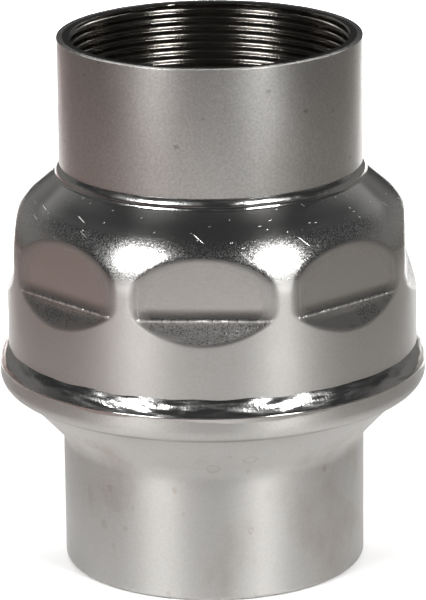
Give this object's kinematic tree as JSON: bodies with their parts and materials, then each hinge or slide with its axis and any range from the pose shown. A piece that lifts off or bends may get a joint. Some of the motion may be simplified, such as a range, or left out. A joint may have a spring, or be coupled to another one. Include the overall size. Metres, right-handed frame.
{
  "type": "non-return valve",
  "caption": "Spring-loaded non-return valve: lap-welded pressed steel shells, female pipe-threaded at each end, around a guided disc that lifts off its seat against a spring.",
  "frame": {"origin": "centre of the inlet end face, on the flow axis", "axes": "+Z along the flow, from the inlet to the outlet; -Y is the outward normal of one spanner flat"},
  "size_m": [0.1132, 0.1132, 0.1426],
  "materials": {
    "shell_steel": "satin pressed stainless sheet",
    "turned_steel": "fine turned stainless",
    "weld_steel": "bright weld metal",
    "sheet_steel": "plain rolled stainless",
    "spring_steel": "drawn wire",
    "seal_rubber": "moulded matte rubber",
    "bush_plastic": "moulded acetal"
  },
  "bodies": {
    "housing": {"outlet_socket": "turned_steel", "outlet_weld": "weld_steel", "upper_shell": "shell_steel", "waist_weld": "weld_steel", "lower_shell": "shell_steel", "lower_guide": "sheet_steel", "lower_bush": "bush_plastic", "seat_ring": "turned_steel", "seat_o_ring": "seal_rubber", "guide_cage": "sheet_steel", "cage_screws": "turned_steel", "guide_tube": "turned_steel", "tube_nut": "turned_steel", "upper_bush": "bush_plastic", "return_spring": "spring_steel"},
    "spring_seat": {"spring_cup": "sheet_steel"},
    "disc": {"stem": "turned_steel", "seal_retainer": "sheet_steel", "disc_seal": "seal_rubber", "disc_plate": "sheet_steel", "stem_washer": "sheet_steel", "stem_nut": "turned_steel", "stem_clip": "spring_steel"}
  },
  "joints": [
    {"name": "disc_lift", "type": "slide", "parent": "housing", "child": "spring_seat", "axis": [0, 0, 1], "range_m": [0, 0.015], "stiffness_N_per_m": 495, "springref_m": -0.016, "deforming": ["return_spring"]},
    {"name": "disc_spin", "type": "hinge", "parent": "spring_seat", "child": "disc", "pos_m": [0, 0, 0.05], "axis": [0, 0, 1], "continuous": true}
  ]
}
